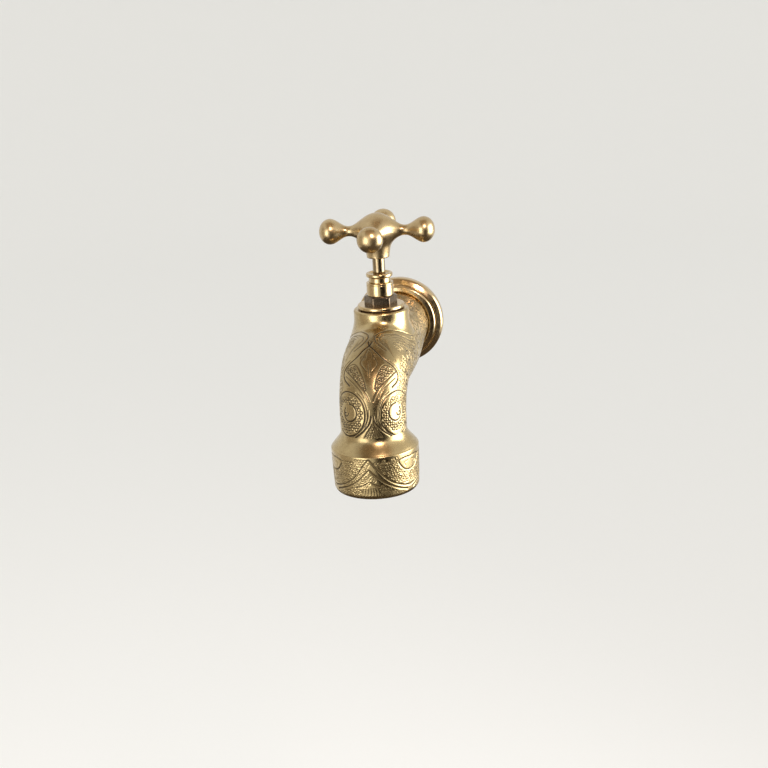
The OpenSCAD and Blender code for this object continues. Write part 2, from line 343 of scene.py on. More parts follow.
def dull(name, colour, fleck, rough, size, bump, metal=0.0):
    """Plain material with a fleck of a second colour: rubber, fibre, packing or steel."""
    made, tree, shader, coord = new_material(name)
    grain = noise(tree, coord, size, 4)
    tinted = blend(tree, remap(tree, grain, 0.35, 0.65, 0, 1), colour, fleck)
    tree.links.new(tinted, shader.inputs["Base Color"])
    tree.links.new(remap(tree, grain, 0.3, 0.7, rough - 0.08, rough + 0.08), shader.inputs["Roughness"])
    shader.inputs["Metallic"].default_value = metal
    bumped(tree, shader, grain, bump)
    return made


engraved = brass("engraved_brass", (0.55, 0.42, 0.205), (0.40, 0.29, 0.13), (0.020, 0.012, 0.006), 0.24, 0.8)
polished = brass("polished_brass", (0.58, 0.43, 0.22), (0.45, 0.31, 0.14), (0.05, 0.03, 0.012), 0.18, 0.5)
handle_brass = brass("handle_brass", (0.56, 0.42, 0.22), (0.44, 0.31, 0.15), (0.05, 0.03, 0.01), 0.29, 0.7)
rose_brass = brass("rose_brass", (0.58, 0.43, 0.23), (0.50, 0.36, 0.18), (0.05, 0.03, 0.012), 0.2, 0.5)
stem_brass = brass("stem_brass", (0.34, 0.26, 0.14), (0.20, 0.14, 0.08), (0.03, 0.02, 0.01), 0.2, 0.8)
dark_brass = brass("dark_brass", (0.17, 0.125, 0.08), (0.065, 0.05, 0.034), (0.03, 0.02, 0.01), 0.25, 0.9,
                   coat=0.1)
rubber = dull("rubber", (0.018, 0.018, 0.018), (0.035, 0.034, 0.033), 0.6, 0.8, 0.03)
fibre = dull("fibre", (0.055, 0.028, 0.018), (0.10, 0.05, 0.03), 0.75, 0.6, 0.05)
packing = dull("packing", (0.03, 0.03, 0.03), (0.09, 0.085, 0.08), 0.8, 0.5, 0.08)
steel = dull("steel", (0.42, 0.41, 0.40), (0.58, 0.57, 0.55), 0.28, 0.7, 0.01, 1.0)


# -------------------- engraving

class Engraving:
    """Cuts in a surface. Each is a run of points with a half-width and a depth, in millimetres.

    place(s, w) gives points on the uncut surface, and near(s, w, along, round_) the place that lies so many
    millimetres from (s, w) on the surface.
    """

    STEP = 0.14

    def __init__(self, place, near):
        self.place = place
        self.near = near
        self.points = []
        self.half = []
        self.depth = []

    def line(self, route, width=0.75, depth=0.24, taper=0.0):
        """Cut along a smooth curve through the (s, w) route. With taper its ends run out."""
        curve = smooth(np.array(route, float))
        spots = self.place(curve[:, 0], curve[:, 1])
        lengths = np.concatenate([[0], np.cumsum(np.linalg.norm(np.diff(spots, axis=0), axis=1))])
        count = max(2, int(lengths[-1] / self.STEP))
        along = np.linspace(0, lengths[-1], count)
        t = np.linspace(0, 1, count)
        swell = 1 - taper * (1 - np.sin(math.pi * t) ** 0.6)
        self.points.append(np.stack([np.interp(along, lengths, spots[:, k]) for k in range(3)], -1))
        self.half.append(width / 2 * swell)
        self.depth.append(depth * swell)

    def ring(self, s, w, radius, width=0.55, depth=0.22):
        """Ring struck with a punch."""
        turns = np.linspace(0, TAU, 13)
        self.line([self.near(s, w, radius * math.cos(t), radius * math.sin(t)) for t in turns], width, depth)

    def spiral(self, s, w, outer, inner, start, turns, width=0.7, depth=0.24, hand=1):
        """Volute that winds in from the outer radius."""
        count = int(10 * turns) + 4
        route = []
        for t in np.linspace(0, 1, count):
            r = outer + (inner - outer) * t
            a = start + hand * TAU * turns * t
            route.append(self.near(s, w, r * math.cos(a), r * math.sin(a)))
        self.line(route, width, depth)

    def sprig(self, s, w, heading, length, blades=5, hand=1, width=0.6):
        """Leaf: a curved rib with blades that fan out to one side."""
        for k in range(blades):
            t = k / (blades - 1)
            lean = heading + hand * (0.15 + 1.15 * t)
            reach = length * (1 - 0.45 * t)
            route = [self.near(s, w, q * reach * math.cos(lean + hand * 0.5 * q),
                               q * reach * math.sin(lean + hand * 0.5 * q)) for q in (0.12, 0.45, 0.75, 1.0)]
            self.line(route, width, 0.22, 0.7)

    def ground(self, inside, s_range, w_range, pitch, draw):
        """Fills a region with punched rings on an uneven lattice."""
        for s in np.arange(*s_range, pitch):
            odd = int(round(s / pitch)) % 2
            for w in np.arange(w_range[0] + odd * pitch / 2, w_range[1], pitch):
                here = s + draw.uniform(-0.3, 0.3), w + draw.uniform(-0.3, 0.3)
                if inside(*here):
                    self.ring(*here, draw.uniform(0.62, 0.85))

    def cut(self, spots):
        """Depth of cut at each of the given points on the surface."""
        points = np.vstack(self.points)
        half = np.concatenate(self.half)
        depth = np.concatenate(self.depth)
        tree = kdtree.KDTree(len(points))
        for k, point in enumerate(points.tolist()):
            tree.insert(point, k)
        tree.balance()
        found = np.array([tree.find(spot)[1:] for spot in spots.tolist()])
        nearest = found[:, 0].astype(int)
        inside = np.clip(1 - found[:, 1] / half[nearest], 0, 1)
        return depth[nearest] * inside ** 0.55


def smooth(route, steps=8):
    """Catmull-Rom curve through the route's points."""
    if len(route) < 3:
        t = np.linspace(0, 1, steps * 2)[:, None]
        return route[0] * (1 - t) + route[-1] * t
    padded = np.vstack([2 * route[0] - route[1], route, 2 * route[-1] - route[-2]])
    curve = []
    for k in range(len(route) - 1):
        a, b, c, d = padded[k:k + 4]
        for t in np.arange(steps) / steps:
            curve.append(0.5 * (2 * b + (c - a) * t + (2 * a - 5 * b + 4 * c - d) * t ** 2
                                + (3 * b - a - 3 * c + d) * t ** 3))
    curve.append(route[-1])
    return np.array(curve)


# -------------------- the pipe's shape

bend_y = spout_y + BEND_R
bend_top_y = bend_y - BEND_R * math.sin(FALL)
bend_top_z = (bend_top_y - PIPE_START) * math.tan(FALL)
bend_z = bend_top_z - BEND_R * math.cos(FALL)
bend_start_s = (PIPE_START - bend_top_y) / math.cos(FALL) - PIPE_START
bend_end_s = bend_start_s + BEND_R * (math.pi / 2 - FALL)
pipe_end_s = bend_end_s + bend_z - collar_high


def centre_line(s):
    """Centre (y, z), outward direction (y, z) and how far the bend has turned, at distances s."""
    turned = np.clip((s - bend_start_s) / BEND_R, 0, math.pi / 2 - FALL)
    angle = math.pi / 2 + FALL + turned
    out = np.stack([np.cos(angle), np.sin(angle)], -1)
    start = np.array([bend_y, bend_z]) + BEND_R * out
    ahead = np.stack([-np.sin(angle), np.cos(angle)], -1)
    left = np.where(s < bend_start_s, s - bend_start_s, np.maximum(s - bend_end_s, 0))
    return start + ahead * left[..., None], out


def pipe_radius(s):
    """Pipe radius at distance s: straight runs between the listed sizes, rounded off."""
    stations, radii = np.array(PIPE_RADII).T
    return sum(np.interp(s + shift, stations, radii) for shift in range(-8, 9, 2)) / 9


def boss_distance(x, y, z):
    """Distance outside the boss: an upright cylinder with a rounded top edge."""
    side = np.hypot(x, y - valve_y) - (BOSS_R - BOSS_EDGE)
    top = z - (boss_top - BOSS_EDGE)
    beyond = np.hypot(np.maximum(side, 0), np.maximum(top, 0))
    within = np.minimum(np.maximum(side, top), 0)
    return np.maximum(beyond + within - BOSS_EDGE, BOSS_LOW - z)


def soft_union(a, b, k):
    """The smaller of two distances, melted together where they differ by less than k."""
    h = np.clip(0.5 + 0.5 * (b - a) / k, 0, 1)
    return b * (1 - h) + a * h - k * h * (1 - h)


def pipe_point(s, phi, rho):
    """The point rho from the centre line at s, turned phi from the front and top."""
    centre, out = centre_line(s)
    ahead = rho * np.cos(phi)
    return np.stack([rho * np.sin(phi), centre[..., 0] + ahead * out[..., 0],
                     centre[..., 1] + ahead * out[..., 1]], -1)


def pipe_surface(s, phi):
    """Points on the uncut pipe and boss: the outermost surface along each ray from the centre line."""
    tube = pipe_radius(s)
    low, high = tube - 1.0, tube + 12.0
    for _ in range(16):
        rho = (low + high) / 2
        spot = pipe_point(s, phi, rho)
        outside = soft_union(rho - tube, boss_distance(*np.moveaxis(spot, -1, 0)), BOSS_BLEND) > 0
        low, high = np.where(outside, low, rho), np.where(outside, rho, high)
    return pipe_point(s, phi, (low + high) / 2)


def pipe_near(s, w, along, round_):
    """The place so many millimetres from (s, w) on the pipe, whose bend is longer on its outside."""
    w = w + round_
    stretch = max(0.35, 1 + BEND_PIPE_R * math.cos(w / GIRTH_R) / BEND_R)
    length = (bend_end_s - bend_start_s) * stretch
    a = s - bend_start_s
    a = a if a < 0 else min(a, bend_end_s - bend_start_s) * stretch + max(0, s - bend_end_s)
    a += along
    if a < 0:
        return bend_start_s + a, w
    return bend_start_s + min(a, length) / stretch + max(0, a - length), w


def pipe_place(s, w):
    return pipe_surface(np.asarray(s, float), np.asarray(w, float) / GIRTH_R)


# -------------------- the pipe's engraving

def axis_w(s):
    """The pattern's centre line: it swings a little to one side on its way down the spout."""
    return float(np.interp(s, (92, 112), (-0.8, 3.5)))


def engrave_pipe():
    """Draws the ornament. Mirrored motifs are written for one side, with u measured from the centre line."""
    art = Engraving(pipe_place, pipe_near)
    draw = np.random.default_rng(7)

    def both(route, **how):
        for side in (-1, 1):
            art.line([(s, axis_w(s) + side * u) for s, u in route], **how)

    # Scalloped edge under the boss's plain band, with a second line inside it
    both([(64, 22.5), (70, 19), (77, 12), (81, 7), (84, 3.2), (86, 1.8), (88.4, 3), (90.3, 5.8), (91.6, 9.6)],
         width=1.0)
    both([(66, 25.5), (72.5, 21.5), (78.5, 15), (82.5, 9.5), (85.2, 5.4), (87.4, 4.8), (89.4, 8),
          (90.6, 11.5)], width=0.7)
    # Fine lines that follow the scallop outside it
    for k in range(1, 6):
        both([(63 + 1.2 * k, 25.5 + 1.8 * k), (70 + 1.2 * k, 21.5 + 1.8 * k), (77 + 1.0 * k, 14.5 + 1.7 * k),
              (81 + 0.8 * k, 10 + 1.5 * k), (84.4 + 0.5 * k, 7.2 + 1.3 * k)], width=0.62, taper=0.35)
    # Stems that cross below its cusp, sweep out and turn back in
    both([(88.6, -1), (90.5, 0), (92.4, 3.3), (94.4, 6.6), (95.8, 10.2), (96.9, 14.2), (98.2, 17.3),
          (100.2, 18.6), (102.6, 17.3), (105.1, 13.6)], width=1.15, depth=0.32)
    both([(95.2, 12.4), (96.4, 17), (98.6, 20.4), (101.4, 21.4), (104.2, 20), (106.4, 21.4)], width=0.75)
    # Leaves with a punched ground
    both([(98.4, 16.6), (97.5, 13), (97.6, 9), (99.8, 6.2), (103.4, 3.8), (106.6, 2.6)], width=0.9)
    both([(98.5, 16.6), (100.2, 14.4), (102.1, 11.4), (104.3, 8), (106.2, 5.2), (108.8, 2.4), (110.6, 1.2)],
         width=1.0)
    both([(101.2, 16.2), (103.2, 12.8), (105.3, 9.2), (107.2, 6.2), (109.4, 4.4)], width=0.75)
    both([(92.2, 0.4), (95.0, 2.8), (97.2, 5.0), (98.8, 4.0), (100.6, 1.6)], width=0.7)
    for side in (-1, 1):
        art.spiral(95.4, axis_w(95) + side * 3.4, 1.9, 0.5, 2.2, 1.2, 0.6, hand=side)
    both([(96.6, 0.3), (99.4, 0.8), (103.0, 0.5)], width=0.8, taper=0.6)

    # Medallions: outer rim with a second line on its inner side, and a disc with a comma's tail
    tall, wide, disc_r, bend_stretch = 13.2, 11.9, 6.9, 1.74
    for side in (-1, 1):
        s, w = 115.2, axis_w(115) + side * 16.2
        facing = -side * math.pi / 2

        def rim(grow, first, last, s=s, w=w, side=side):
            return [pipe_near(s, w, -tall * grow * math.cos(t), -side * wide * grow * math.sin(t))
                    for t in np.linspace(first, last, 26)]
        art.line(rim(1.0, -1.3, 3.9), 1.05, 0.3)
        art.line(rim(1.13, 0.5, 2.1), 0.7)
        art.line(rim(0.86, 3.6, 5.6), 0.7)
        art.spiral(s - 0.4, w - side * 1.0, 5.6, 4.4, math.pi, 0.86, 1.1, 0.32, hand=side)
        art.spiral(s - 0.2, w + side * 1.8, 2.0, 0.5, facing, 0.8, 0.9, 0.3, hand=side)

        def ring_band(a, b, s=s, w=w):
            up = (min(a, bend_end_s) - s) * bend_stretch + max(0, a - bend_end_s)
            across = b - w
            return math.hypot(up / tall, across / wide) < 0.86 and math.hypot(up + 0.7, across) > disc_r
        for row in range(-8, 9):
            for across in np.arange(-11.6 + 1.4 * (row % 2), 12, 2.8):
                here = pipe_near(s, w, 1.5 * row + draw.uniform(-0.25, 0.25),
                                 across + draw.uniform(-0.3, 0.3))
                if ring_band(*here):
                    art.ring(*here, draw.uniform(0.8, 1.0), 0.6, 0.28)

    # Fan at the foot of the spout
    both([(115.6, 0.6), (117.6, 1.4), (119.7, 3.6), (122.6, 6.4), (126.2, 11.4)], width=1.15, depth=0.3)
    both([(113.6, 2.2), (116.4, 2.6), (119.4, 5.4), (122.6, 8.6), (126.2, 13.6)], width=0.8)
    both([(118.3, 0.5), (121.2, 2.2), (125.4, 5.2)], width=0.9)
    for u in (-6, -4, -2, 0, 2, 4, 6):
        art.line([(122.8 + 0.2 * abs(u), axis_w(124) + 0.5 * u), (126.3, axis_w(126) + u)], 0.7, 0.24, 0.4)
    art.ground(lambda s, w: abs(w - axis_w(s)) < 0.6 * (s - 117.5), (119, 126.3), (-6, 13), 1.7, draw)

    def in_leaf(s, w):
        u = abs(w - axis_w(s))
        high = np.interp(u, (2.6, 6.2, 9.0, 13, 16.6), (106.6, 99.8, 97.6, 97.5, 98.4))
        low = np.interp(u, (2.4, 5.2, 8, 11.4, 14.4, 16.6), (108.8, 106.2, 104.3, 102.1, 100.2, 98.5))
        return 2.6 < u < 15.4 and high + 0.7 < s < low - 0.6
    for row in range(10):
        s = 97.6 + 1.12 * row
        odd = row % 2
        for w in np.arange(-17 + 1.15 * odd, 19, 2.3):
            here = s + draw.uniform(-0.15, 0.15), w + draw.uniform(-0.25, 0.25)
            if in_leaf(*here):
                art.ring(*here, draw.uniform(0.66, 0.86), 0.6, 0.32)

    # Hatching between the scallops and the stems
    for k in range(12):
        t = k / 11
        both([(86.6 + 6.5 * t, 7.5 + 8 * t), (90.0 + 4.6 * t, 8.6 + 8.4 * t)],
             width=0.55, depth=0.2, taper=0.6)
        both([(107.8 + 0.6 * math.sin(9 * t), 20.5 + 9 * t), (111.2, 22 + 10 * t)],
             width=0.55, depth=0.2, taper=0.6)

    # Scrolls, leaves and a punched ground on the flanks and underneath
    scrolls = ((84.5, 25.5, 4.6, 1.0), (73.5, 31.5, 5.6, 4.0), (61.0, 31.5, 6.0, 1.2), (49.5, 21.0, 6.2, 4.2),
               (38.5, 29.0, 6.4, 1.0), (27.0, 20.0, 6.0, 4.2), (16.5, 29.5, 5.4, 1.0), (97.0, 30.0, 4.6, 3.6),
               (108.5, 33.5, 4.0, 0.8), (119.5, 33.0, 5.0, 3.2), (35.5, 9.5, 5.6, 2.0), (20.0, 7.5, 5.0, 5.0),
               (50.5, 41.0, 6.2, 2.4), (28.0, 42.0, 6.2, 5.2), (68.5, 45.0, 5.6, 3.0), (39.0, 53.0, 5.8, 0.4),
               (17.0, 53.0, 5.0, 3.4), (59.0, 54.5, 5.4, 1.8), (84.0, 41.5, 4.8, 0.6),
               (112.0, 47.0, 4.8, 2.8), (121.0, 57.0, 4.4, 0.4))
    for side in (-1, 1):
        for s, u, size, start in scrolls:
            w = side * u
            art.spiral(s, w, size, 0.9, start, 1.7, 0.95, 0.28, hand=side)
            for turn, length in ((0.0, 1.15), (1.6, 1.0), (3.2, 1.1), (4.8, 0.95)):
                heading = start + turn
                root = art.near(s, w, size * math.cos(heading), size * math.sin(heading))
                art.sprig(*root, heading + side * 0.7, size * length * 0.66, 5, side, 0.7)

    def flank(s, w):
        clear = min(math.hypot(s - a, abs(w) - b) - r for a, b, r, _ in scrolls)
        clear_of_boss = abs(w) > np.interp(s, (46, 47, 79, 81, 93), (0, 21, 21, 13, 11))
        return clear > 0.9 and clear_of_boss and not (s > 88 and abs(w) < 20)
    art.ground(flank, (12, 112), (-60, 62), 1.9, draw)
    return art


def skin_rows(cols):
    """Places (s, phi) of the pipe's skin, from under the wall flange to the collar and round each row."""
    straight = np.arange(8.0, bend_start_s, 0.30)
    bend = np.linspace(bend_start_s, bend_end_s, 215)[:-1]
    drop = np.linspace(bend_end_s, pipe_end_s, 24)
    s = np.concatenate([straight, bend, drop])
    phi = np.arange(cols) * TAU / cols - math.pi
    return np.meshgrid(s, phi, indexing="ij")


def normals(rows):
    """Outward unit normals of a grid whose columns close on themselves."""
    along = np.gradient(rows, axis=0)
    around = np.roll(rows, -1, 1) - np.roll(rows, 1, 1)
    cross = np.cross(around, along)
    cross /= np.linalg.norm(cross, axis=-1, keepdims=True)
    centre = rows.mean(1, keepdims=True)
    facing = np.sign(np.einsum("ijk,ijk->i", cross, rows - centre))
    return cross * facing[:, None, None]


def flat_rings(plan, phi, upright):
    """Rings of (distance, radius): across the spout if upright, otherwise across the inlet."""
    rings = []
    for place, r in plan:
        x, other = r * np.sin(phi), r * np.cos(phi)
        if upright:
            rings.append(np.stack([x, spout_y - other, np.full_like(x, place)], -1))
        else:
            rings.append(np.stack([x, np.full_like(x, place), other], -1))
    return np.array(rings)


def set_values(made, name, values):
    """Stores a number from 0 to 1 at each vertex, for the material to use."""
    attribute = made.data.attributes.new(name, "FLOAT", "POINT")
    full = np.zeros(len(made.data.vertices), np.float32)
    full[:len(values)] = values
    attribute.data.foreach_set("value", full)


def make_pipe():
    """Body: the engraved skin, closed by the inlet's and the spout's blind bores."""
    cols = 440
    s, phi = skin_rows(cols)
    rows = pipe_surface(s, phi)
    art = engrave_pipe()
    depth = art.cut(rows.reshape(-1, 3)).reshape(s.shape)
    from_valve = np.hypot(rows[..., 0], rows[..., 1] - valve_y)
    plain = np.clip((rows[..., 2] - PLAIN_BAND_LOW) / 0.6, 0, 1) * (from_valve < BOSS_R + 3)
    depth = depth * (1 - plain)
    rows = rows - normals(rows) * depth[..., None]
    inlet = [(INLET_END, WATER_R), (WALL_FACE, WATER_R), (WALL_FACE, WALL_PIPE_R)]
    wall_end = flat_rings(inlet, phi[0], False)
    spigot = flat_rings([(collar_high, SPIGOT_R), (SPIGOT_LOW, SPIGOT_R), (SPIGOT_LOW, SPOUT_BORE_R),
                         (SPIGOT_LOW + OUTLET_DEPTH, SPOUT_BORE_R)], phi[0], True)
    grid = np.concatenate([wall_end, rows, spigot])
    made = piece("cast_body", *skin(grid), engraved, FIXED, "engraved_brass", ["body"], 50)
    before, after = (len(wall_end), cols), (len(spigot), cols)
    held = np.concatenate([np.full(before, 0.2), depth / 0.24, np.full(after, 0.2)])
    set_values(made, "cut", held.reshape(-1))
    # Painted shade: darker down the front of the bend and spout, standing in for the dark room it reflects.
    shade = np.interp(s, (78, 88, 106, 126), (0.0, 0.95, 0.95, 0.5))
    shade = shade * np.exp(-((phi * GIRTH_R - 2) / 13) ** 2)
    painted_front_shade = np.concatenate([np.zeros(before), shade, np.zeros(after)])
    set_values(made, "painted_front_shade", painted_front_shade.reshape(-1))


# -------------------- the spout's collar

def collar_outline():
    """Outline from the top edge down and back up the bore, with its band's first point and its count."""
    top, low = collar_high, collar_low
    neck_r = float(pipe_radius(np.array(pipe_end_s))) + 0.02
    band_top = top - 9.0
    edge = 0.55
    sweep = 0.72 * math.pi
    t = np.linspace(0, 1, 34)
    flare = (1 - np.cos(sweep * t)) / (1 - math.cos(sweep))
    shoulder = np.stack([neck_r + (collar_r - edge - neck_r) * flare, top + (band_top - top) * t], -1)
    a = np.linspace(math.radians(50), 0, 5)[:-1]
    brow = np.stack([collar_r - 1 + np.cos(a), band_top - 1 + np.sin(a)], -1)
    shoulder = np.vstack([shoulder[:-1], brow])
    band_top -= 1.0
    z = np.arange(band_top, low + 3.4, -0.28)
    taper = (band_top - z) / (band_top - low)
    band = np.stack([collar_r - 0.9 * taper ** 1.6, z], -1)
    rim_r = band[-1, 0]
    a = np.linspace(0, math.pi / 2, 14)[1:]
    foot = np.stack([rim_r - 3.1 + 3.1 * np.cos(a), low + 3.3 - 3.3 * np.sin(a)], -1)
    inner = outline([(foot[-1, 0], low, 0), (17.0, low, 0.4), (bush_r + 0.05, low + 1.0, 0),
                     (bush_r + 0.05, top - 0.3, 0)], 1.5)
    return np.vstack([shoulder, band, foot, inner[1:-1]]), len(shoulder), len(band)


def make_collar():
    """Spout's collar: three pointed double arches round it, with a leaf between each two."""
    points, first, count = collar_outline()
    cols = 560
    theta = np.arange(cols) * TAU / cols
    r, z = points[:, :1], points[:, 1:2]
    rows = np.stack([r * np.sin(theta), spout_y - r * np.cos(theta), z + 0 * theta], -1)
    band = points[first:first + count]
    band_top, band_low = band[0, 1], collar_low + 2.2

    def place(drop, w):
        drop, w = np.asarray(drop, float), np.asarray(w, float)
        radius = np.interp(drop - band_top, -band[:, 1], band[:, 0])
        turn = w / collar_r
        return np.stack([radius * np.sin(turn), spout_y - radius * np.cos(turn), band_top - drop], -1)

    art = Engraving(place, lambda s, w, along, round_: (s + along, w + round_))
    draw = np.random.default_rng(11)
    width = TAU * collar_r / 3
    height = band_top - band_low
    for k in range(3):
        mid = k * width + 0.8

        def both(route, about=mid, **how):
            for side in (-1, 1):
                art.line([(d, about + side * u) for d, u in route], **how)

        # Pointed arches, one inside the other
        both([(0.9, 0.2), (5.0, 3.6), (10.0, 7.4), (15.0, 13.0), (18.5, 20.5), (19.8, 26.2)],
             width=1.2, depth=0.32)
        both([(7.2, 0.2), (11.0, 4.0), (15.5, 9.4), (19.4, 17.0), (21.8, 24.0)], width=1.2, depth=0.32)
        both([(14.2, 0.2), (16.0, 2.6), (17.6, 6.6), (18.2, 9.0)], width=1.0, depth=0.3)
        both([(18.2, 9.0), (20.0, 8.2), (22.4, 9.6)], width=0.6)
        # Petals at the foot of the arch
        for u in (-4.6, -2.8, -1.0, 1.0, 2.8, 4.6):
            art.line([(18.0, mid + 0.7 * u), (20.0, mid + 0.9 * u), (22.8, mid + u)], 0.6, 0.24, 0.5)
        # Hanging leaf in the spandrel between two arches
        leaf = mid + width / 2
        both([(2.6, 0), (2.4, 4.2), (3.4, 8.6), (6.4, 7.4), (9.4, 4.4), (10.4, 0.6)], leaf,
             width=1.05, depth=0.3)
        both([(4.6, 1.4), (5.4, 4.4), (7.6, 3.8)], leaf, width=0.6, depth=0.22, taper=0.5)
        both([(11.4, 0.8), (13.6, 3.4), (16.8, 4.0)], leaf, width=0.7, taper=0.4)
        both([(11.0, 3.2), (13.0, 6.6), (15.8, 8.6)], leaf, width=0.7, taper=0.4)
        art.line([(12.0, leaf), (17.5, leaf)], 0.8, 0.26, 0.4)

        def spandrel(d, w, leaf=leaf, mid=mid):
            u = abs(w - mid)
            arch = np.interp(u, (0, 3.6, 7.4, 13.0, 20.5, 26.5), (0.9, 5.0, 10.0, 15.0, 18.5, 20.0))
            v = abs(w - leaf)
            in_leaf = v < np.interp(d, (1.5, 3.4, 6.4, 9.4, 11.0), (9.4, 9.6, 8.6, 5.6, 1.5))
            return 1.6 < d < arch - 1.4 and not in_leaf
        art.ground(spandrel, (1.5, height), (mid, mid + width), 1.95, draw)

        def foot(d, w, mid=mid):
            u = abs(w - mid)
            arch = np.interp(u, (0, 4.0, 9.4, 17.0, 24.0), (7.2, 11.0, 15.5, 19.4, 21.8))
            return d > max(arch + 1.6, 16.8 if u < 9 else 0) and 5.6 < u and d < 23.2
        art.ground(foot, (15, height + 1), (mid - width / 2, mid + width / 2), 1.95, draw)
        for u in (-1.9, 0.0, 1.9):
            art.ring(10.6 + 0.9 * abs(u), mid + u, 0.7)
            art.ring(12.6 + 0.6 * abs(u), mid + u * 1.5, 0.7)

    depth = np.zeros(rows.shape[:2])
    part = slice(first, first + count + 4)
    depth[part] = art.cut(rows[part].reshape(-1, 3)).reshape(-1, cols)
    rows = rows - normals(rows) * depth[..., None]
    made = piece("spout_cuff", *skin(rows, True), engraved, FIXED, "engraved_brass", ["spout_collar"], 50)
    set_values(made, "cut", (depth / 0.34).reshape(-1))
    # Painted shade: darker down the front of the collar's shoulder, standing in for the dark room it
    # reflects.
    from_front = np.abs((theta + math.pi) % TAU - math.pi) * collar_r
    shade = np.exp(-(from_front / 9) ** 2) * (np.arange(len(points)) < first)[:, None] * 0.8
    set_values(made, "painted_front_shade", shade.reshape(-1))


# -------------------- wall end

def make_flange():
    """Stepped flange with two convex rings and a sharp groove between them."""
    h = -flange_front
    groove_r, groove_h = 23.7, 7.0
    bore, neck_r, web = 10.7, 19.05, 6.0
    corners = [(bore, flange_back + 2.0, 0), (21.0, 2.0, 0), (21.0, 0.0, 0), (flange_r, 0.0, 0.3),
               (flange_r, 4.6, 2.6), (groove_r + 0.25, groove_h - 0.4, 0.6),
               (groove_r + 0.1, groove_h - 1.0, 0.2), (groove_r - 0.3, groove_h - 1.0, 0.2),
               (groove_r - 0.35, h - 1.0, 1.6), (19.9, h, 1.5),
               (neck_r, h - 0.9, 0.3), (neck_r, web, 0), (bore, web, 0)]
    corners = [(r, max(out, 0.0), f) for r, out, f in corners]
    piece("flange_rose", *skin(wall_lathe(outline(corners, 0.5, 8), 160), True), rose_brass, FIXED,
          "polished_brass", ["wall_flange"])


def make_tail():
    """Inlet tail with a Whitworth pipe thread."""
    pitch, crest, root = 1.814, 10.48, 9.32
    cols = 72
    y = np.arange(tail_back, WALL_FACE, -0.16)
    phi = np.arange(cols) * TAU / cols
    yy, pp = np.meshgrid(y, phi, indexing="ij")
    wave = np.abs(((yy / pitch + pp / TAU) % 1.0) * 2 - 1)
    r = root + (crest - root) * np.clip(wave * 1.35 - 0.17, 0, 1)
    lead = np.clip((tail_back - yy) / 1.4, 0, 1)
    r = np.minimum(r, root - 0.1 + (crest - root + 0.1) * lead)
    r = np.where(yy < 1.5, root + 0.2, r)
    outer = np.stack([r * np.sin(pp), yy, r * np.cos(pp)], -1)
    bore_r, chamfer = WATER_R + 0.02, 0.6
    inner = flat_rings([(WALL_FACE, bore_r), (tail_back - chamfer, bore_r), (tail_back, WATER_R + chamfer)],
                       phi, False)
    piece("inlet_tail", *skin(np.concatenate([outer, inner]), True), polished, FIXED,
          "polished_brass", ["body"], 35)


# -------------------- headwork

def turned(name, node, corners, material=polished, slot="polished_brass", body=FIXED, cols=96, arc_steps=5):
    """Turned part that stands for a node: (radius, height, fillet) corners round the valve's axis."""
    grid = lathe(outline(corners, 0.6, arc_steps), valve_y, cols)
    piece(name, *skin(grid, True), material, body, slot, [node])


def make_headwork():
    """Turned pieces of the headwork, from the boss up, and its hexagon."""
    bore = SHANK_R + 0.05
    turned("bonnet_flange", "bonnet_ring", [
        (bore, ring_low, 0), (ring_r, ring_low, 0.35), (ring_r, ring_high, 0.9), (bore, ring_high, 0),
    ], cols=128)
    turned("fibre_washer", "bonnet_washer", [
        (bore, boss_top, 0), (seal_r, boss_top, 0.2), (seal_r, ring_low, 0.2), (bore, ring_low, 0),
    ], fibre, "fibre")

    skirt_in, lip_in, lip = 6.6, 5.0, 1.6
    groove_in = gland_r - 0.28
    turned("gland_sleeve", "gland_nut", [
        (skirt_in, gland_low, 0), (gland_r, gland_low, 0.3), (gland_r, gland_high - 1.4, 0.15),
        (groove_in, gland_high - 1.2, 0.1), (groove_in, gland_high - 0.85, 0.1),
        (gland_r, gland_high - 0.65, 0.15), (gland_r, gland_high, 0.5), (lip_in, gland_high, 0.1),
        (lip_in, gland_high - lip, 0), (skirt_in, gland_high - lip, 0),
    ], arc_steps=4)

    neck_r, pusher_r = 6.4, 4.9
    neck_low = gland_high + 0.05
    turned("gland_follower", "gland_screw", [
        (STEM_BORE_R, screw_low, 0), (pusher_r, screw_low, 0), (pusher_r, neck_low, 0),
        (neck_r, neck_low, 0.2), (neck_r, screw_high - 2.3, 0.5), (grip_r, screw_high - 2.2, 0.9),
        (grip_r, screw_high, 1.0), (neck_r, screw_high, 0.4), (5.2, screw_high - 0.9, 0.6),
        (STEM_BORE_R, screw_high - 0.9, 0.1),
    ])

    socket_r, thread_r, socket_deep = 3.0, 5.0, 10
    low = span("spindle")[0][2]
    thread_top = ring_high - 5.5
    turned("valve_stem", "spindle", [
        (socket_r, low, 0), (thread_r, low, 0.4), (thread_r, thread_top - 0.6, 0.5),
        (STEM_R, thread_top, 0.2), (STEM_R, stem_top, 0.4), (0.02, stem_top, 0),
        (0.02, low + socket_deep, 0), (socket_r, low + socket_deep, 0),
    ], stem_brass, body=TURNING, cols=64)
    make_bonnet()


